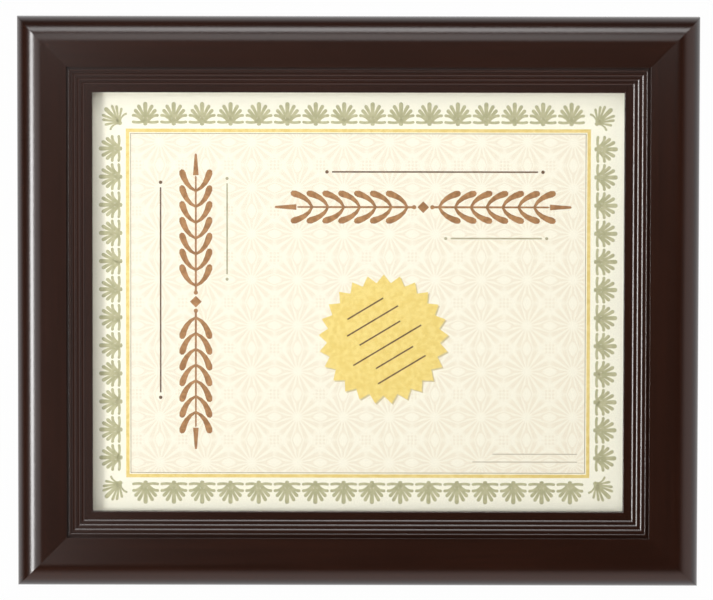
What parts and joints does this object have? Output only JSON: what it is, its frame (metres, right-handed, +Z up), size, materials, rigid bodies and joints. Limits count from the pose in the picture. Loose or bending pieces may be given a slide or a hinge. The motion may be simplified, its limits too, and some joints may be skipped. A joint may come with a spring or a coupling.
{
  "type": "certificate frame",
  "caption": "Leaning rectangular certificate frame: dark mitred wood moulding with stepped inner edge, glazed document, turn-button back and slanted easel leg.",
  "frame": {"origin": "on the table surface, at the middle of the footprint of the standing frame: halfway across its width, and halfway from its front to the point of the easel's foot", "axes": "+X to the right seen from the front, +Y from the front to the back, +Z up from the table; the frame's face looks towards -Y and 15 degrees up"},
  "size_m": [0.3442, 0.1052, 0.2806],
  "materials": {
    "stained_wood": "dark espresso satin lacquer",
    "plated_steel": "zinc plated",
    "clear_glass": "polished",
    "printed_paper": "matt cream stock with a printed border",
    "corrugated_board": "uncoated",
    "backing_hardboard": "dark hardboard, smooth face out",
    "leg_hardboard": "dark hardboard, sawn edges",
    "button_steel": "nickel plated",
    "screw_steel": "zinc plated",
    "hanger_steel": "yellow zinc plated",
    "rivet_steel": "nickel plated"
  },
  "bodies": {
    "frame": {"top_rail": "stained_wood", "bottom_rail": "stained_wood", "left_rail": "stained_wood", "right_rail": "stained_wood", "corner_v_nails": "plated_steel", "glass_pane": "clear_glass", "certificate_sheet": "printed_paper", "filler_board": "corrugated_board", "backing_board": "backing_hardboard", "turn_button_screws": "screw_steel", "landscape_hanger": "hanger_steel", "portrait_hanger": "hanger_steel", "hanger_nails": "hanger_steel", "hinge_board_leaf": "plated_steel", "hinge_board_rivets": "rivet_steel", "hinge_pin": "rivet_steel"},
    "leg": {"easel_leg": "leg_hardboard", "hinge_leg_leaf": "plated_steel", "hinge_leg_rivets": "rivet_steel"},
    "button_top_left": {"turn_button_top_left": "button_steel"},
    "button_top_right": {"turn_button_top_right": "button_steel"},
    "button_right_upper": {"turn_button_right_upper": "button_steel"},
    "button_right_lower": {"turn_button_right_lower": "button_steel"},
    "button_bottom_right": {"turn_button_bottom_right": "button_steel"},
    "button_bottom_left": {"turn_button_bottom_left": "button_steel"},
    "button_left_lower": {"turn_button_left_lower": "button_steel"},
    "button_left_upper": {"turn_button_left_upper": "button_steel"}
  },
  "joints": [
    {"name": "leg_fold", "type": "hinge", "parent": "frame", "child": "leg", "pos_m": [0.02247, 0.00029, 0.13189], "axis": [-0.6691, -0.1923, -0.7178], "range_deg": [0, 25]},
    {"name": "button_turn_top_left", "type": "hinge", "parent": "frame", "child": "button_top_left", "pos_m": [-0.085, 0.03193, 0.25713], "axis": [0, 0.9659, -0.2588], "continuous": true},
    {"name": "button_turn_top_right", "type": "hinge", "parent": "frame", "child": "button_top_right", "pos_m": [0.085, 0.03193, 0.25713], "axis": [0, 0.9659, -0.2588], "continuous": true},
    {"name": "button_turn_right_upper", "type": "hinge", "parent": "frame", "child": "button_right_upper", "pos_m": [0.1501, 0.0143, 0.19135], "axis": [0, 0.9659, -0.2588], "continuous": true},
    {"name": "button_turn_right_lower", "type": "hinge", "parent": "frame", "child": "button_right_lower", "pos_m": [0.1501, -0.01365, 0.08703], "axis": [0, 0.9659, -0.2588], "continuous": true},
    {"name": "button_turn_bottom_right", "type": "hinge", "parent": "frame", "child": "button_bottom_right", "pos_m": [0.085, -0.03128, 0.02125], "axis": [0, 0.9659, -0.2588], "continuous": true},
    {"name": "button_turn_bottom_left", "type": "hinge", "parent": "frame", "child": "button_bottom_left", "pos_m": [-0.085, -0.03128, 0.02125], "axis": [0, 0.9659, -0.2588], "continuous": true},
    {"name": "button_turn_left_lower", "type": "hinge", "parent": "frame", "child": "button_left_lower", "pos_m": [-0.1501, -0.01365, 0.08703], "axis": [0, 0.9659, -0.2588], "continuous": true},
    {"name": "button_turn_left_upper", "type": "hinge", "parent": "frame", "child": "button_left_upper", "pos_m": [-0.1501, 0.0143, 0.19135], "axis": [0, 0.9659, -0.2588], "continuous": true}
  ]
}
